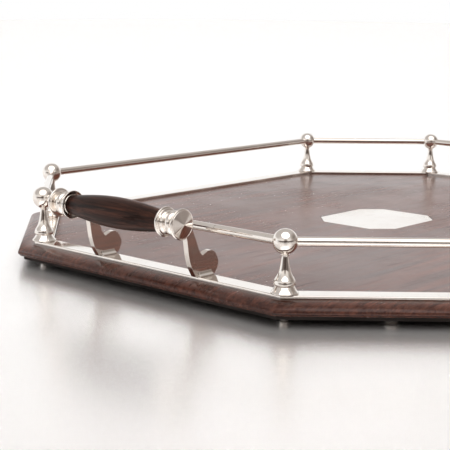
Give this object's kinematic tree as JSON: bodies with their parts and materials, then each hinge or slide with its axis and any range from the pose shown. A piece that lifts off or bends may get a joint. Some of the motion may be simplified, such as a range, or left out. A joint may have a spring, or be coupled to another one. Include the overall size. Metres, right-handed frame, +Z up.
{
  "type": "gallery tray",
  "caption": "Eight-sided wooden serving tray with a plated gallery of baluster posts, balls and rails, and two turned wooden bar handles on brackets.",
  "frame": {"origin": "centre of the tray in plan, on the surface that its feet stand on", "axes": "+X along the long side, towards a handle; +Y across the tray; +Z up"},
  "size_m": [0.5686, 0.441, 0.0636],
  "materials": {
    "stained_wood": "dark red-brown stain under worn French polish, semi-gloss",
    "ebonised_wood": "near-black stained turned wood, soft gloss",
    "backing": "thin dark backing under the board",
    "silver_plate": "polished silver plate with fine wear",
    "steel": "plain steel rod, hidden inside the handle"
  },
  "bodies": {
    "root": {"tray_board": "stained_wood", "underside_backing": "backing", "cartouche": "silver_plate", "band_strip_1": "silver_plate", "post_1": "silver_plate", "post_nut_1": "silver_plate", "ball_1": "silver_plate", "rail_1": "silver_plate", "band_strip_2": "silver_plate", "post_2": "silver_plate", "post_nut_2": "silver_plate", "ball_2": "silver_plate", "rail_2": "silver_plate", "band_strip_3": "silver_plate", "post_3": "silver_plate", "post_nut_3": "silver_plate", "ball_3": "silver_plate", "rail_3": "silver_plate", "band_strip_4": "silver_plate", "post_4": "silver_plate", "post_nut_4": "silver_plate", "ball_4": "silver_plate", "rail_4": "silver_plate", "band_strip_5": "silver_plate", "post_5": "silver_plate", "post_nut_5": "silver_plate", "ball_5": "silver_plate", "rail_5": "silver_plate", "band_strip_6": "silver_plate", "post_6": "silver_plate", "post_nut_6": "silver_plate", "ball_6": "silver_plate", "rail_6": "silver_plate", "band_strip_7": "silver_plate", "post_7": "silver_plate", "post_nut_7": "silver_plate", "ball_7": "silver_plate", "rail_7": "silver_plate", "band_strip_8": "silver_plate", "post_8": "silver_plate", "post_nut_8": "silver_plate", "ball_8": "silver_plate", "rail_8": "silver_plate", "foot_1": "silver_plate", "foot_2": "silver_plate", "foot_3": "silver_plate", "foot_4": "silver_plate", "grip_a": "ebonised_wood", "tie_rod_a": "steel", "bracket_a_1": "silver_plate", "end_cap_a_1": "silver_plate", "bracket_a_2": "silver_plate", "end_cap_a_2": "silver_plate", "grip_b": "ebonised_wood", "tie_rod_b": "steel", "bracket_b_1": "silver_plate", "end_cap_b_1": "silver_plate", "bracket_b_2": "silver_plate", "end_cap_b_2": "silver_plate"}
  },
  "joints": []
}
